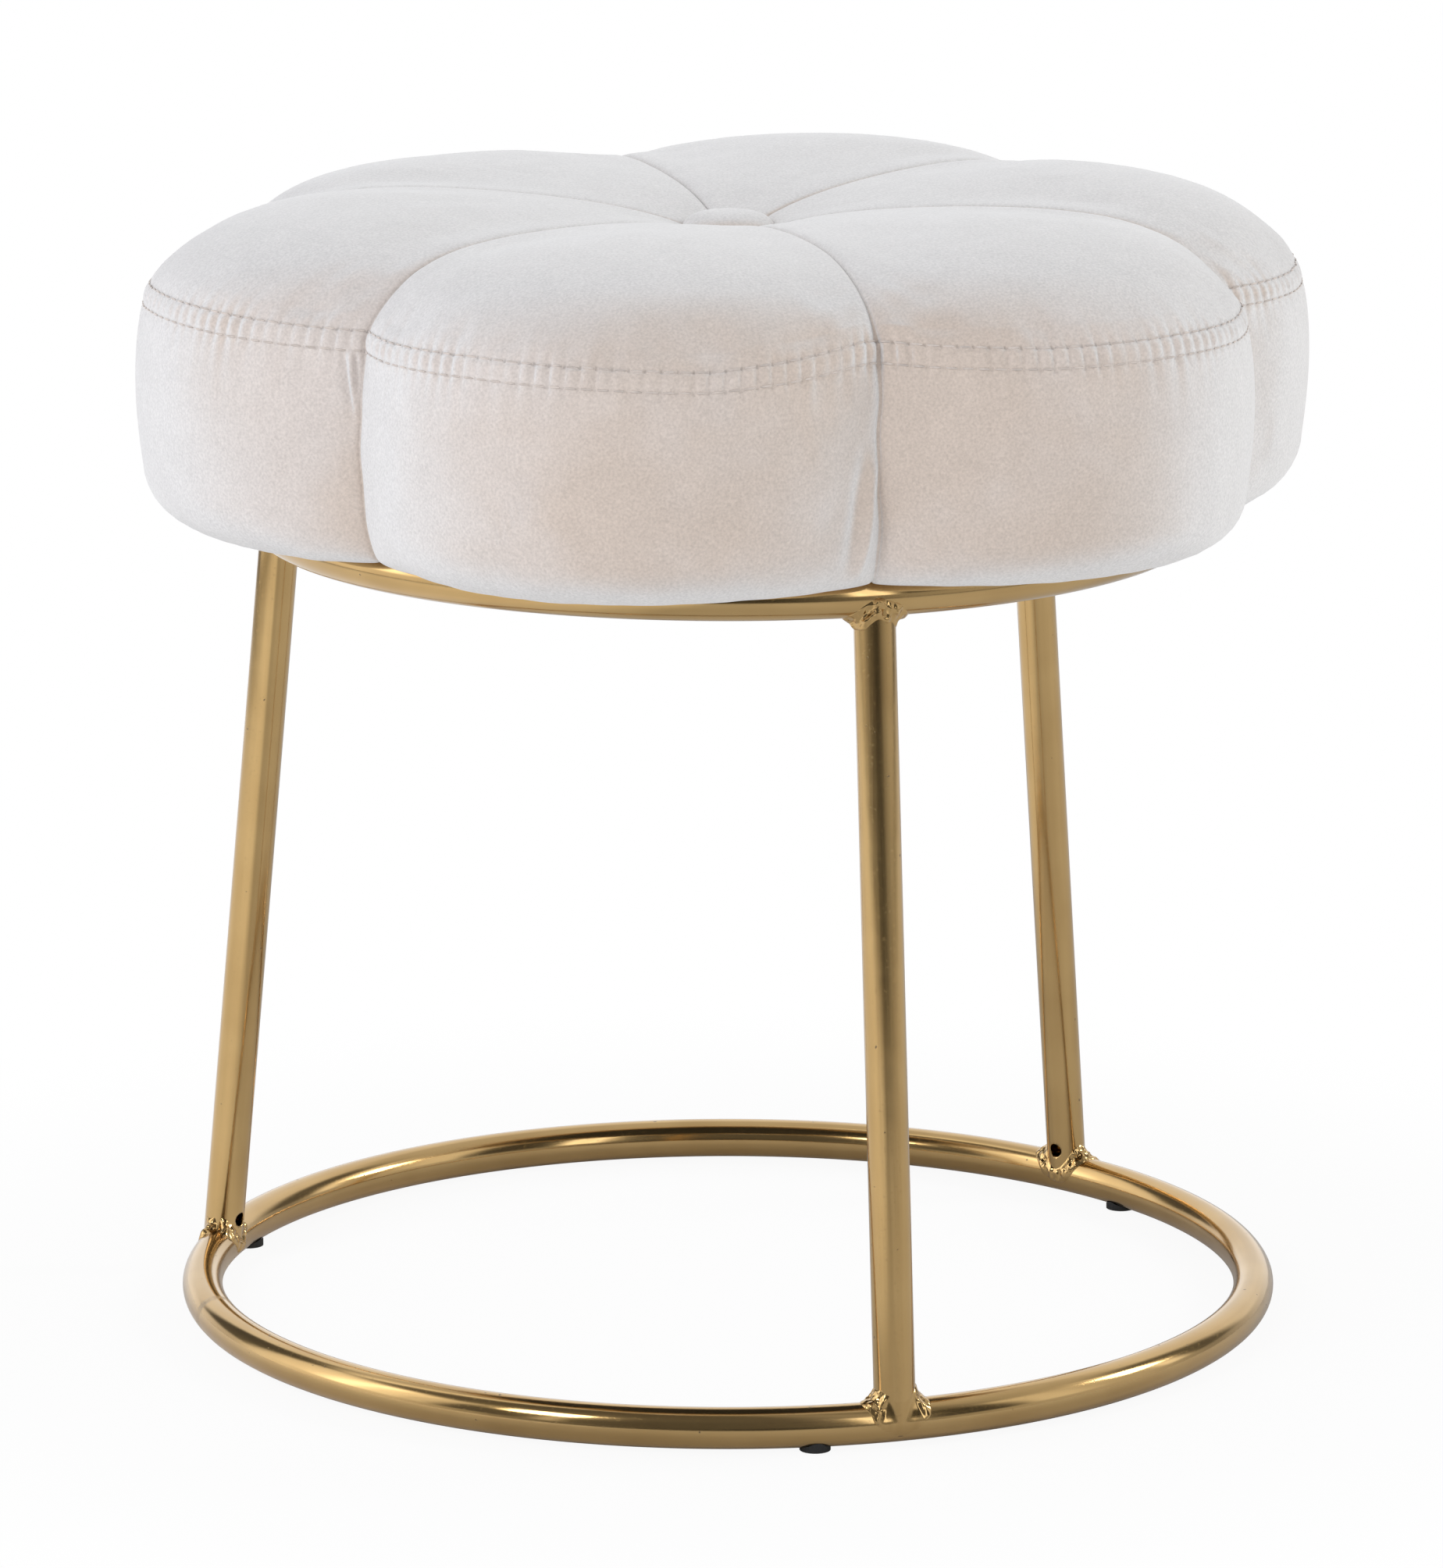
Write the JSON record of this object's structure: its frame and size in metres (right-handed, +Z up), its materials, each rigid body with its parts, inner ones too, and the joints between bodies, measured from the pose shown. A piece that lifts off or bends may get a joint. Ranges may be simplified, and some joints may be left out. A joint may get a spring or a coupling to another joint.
{
  "type": "vanity stool",
  "caption": "Round vanity stool: a petal-shaped button-tufted cushion on a welded tube frame with splayed legs and a ring base.",
  "frame": {"origin": "on the floor, on the stool's axis below the button", "axes": "+Z up; the front leg stands at -Y, the other two 120 degrees round from it; +X to the right of the front leg, through the middle of a petal"},
  "size_m": [0.4724, 0.4414, 0.4518],
  "materials": {
    "plated_tube": "polished",
    "velvet": "matte",
    "glide_rubber": "matte",
    "zinc_steel": "satin",
    "plywood": "matte",
    "black_lining": "matte",
    "seat_foam": "matte",
    "twine": "matte"
  },
  "bodies": {
    "root": {"base_ring": "plated_tube", "top_ring": "plated_tube", "leg_front": "plated_tube", "leg_right": "plated_tube", "leg_left": "plated_tube", "mounting_tab_1": "plated_tube", "mounting_tab_2": "plated_tube", "mounting_tab_3": "plated_tube", "floor_glide_1": "glide_rubber", "floor_glide_2": "glide_rubber", "floor_glide_3": "glide_rubber", "seat_screw_1": "zinc_steel", "seat_screw_2": "zinc_steel", "seat_screw_3": "zinc_steel", "screw_washer_1": "zinc_steel", "screw_washer_2": "zinc_steel", "screw_washer_3": "zinc_steel", "tee_nut_1": "zinc_steel", "tee_nut_2": "zinc_steel", "tee_nut_3": "zinc_steel", "seat_board": "plywood", "dust_cover": "black_lining", "foam_core": "seat_foam", "seat_cover": "velvet", "button": "velvet", "button_twine": "twine"}
  },
  "joints": []
}
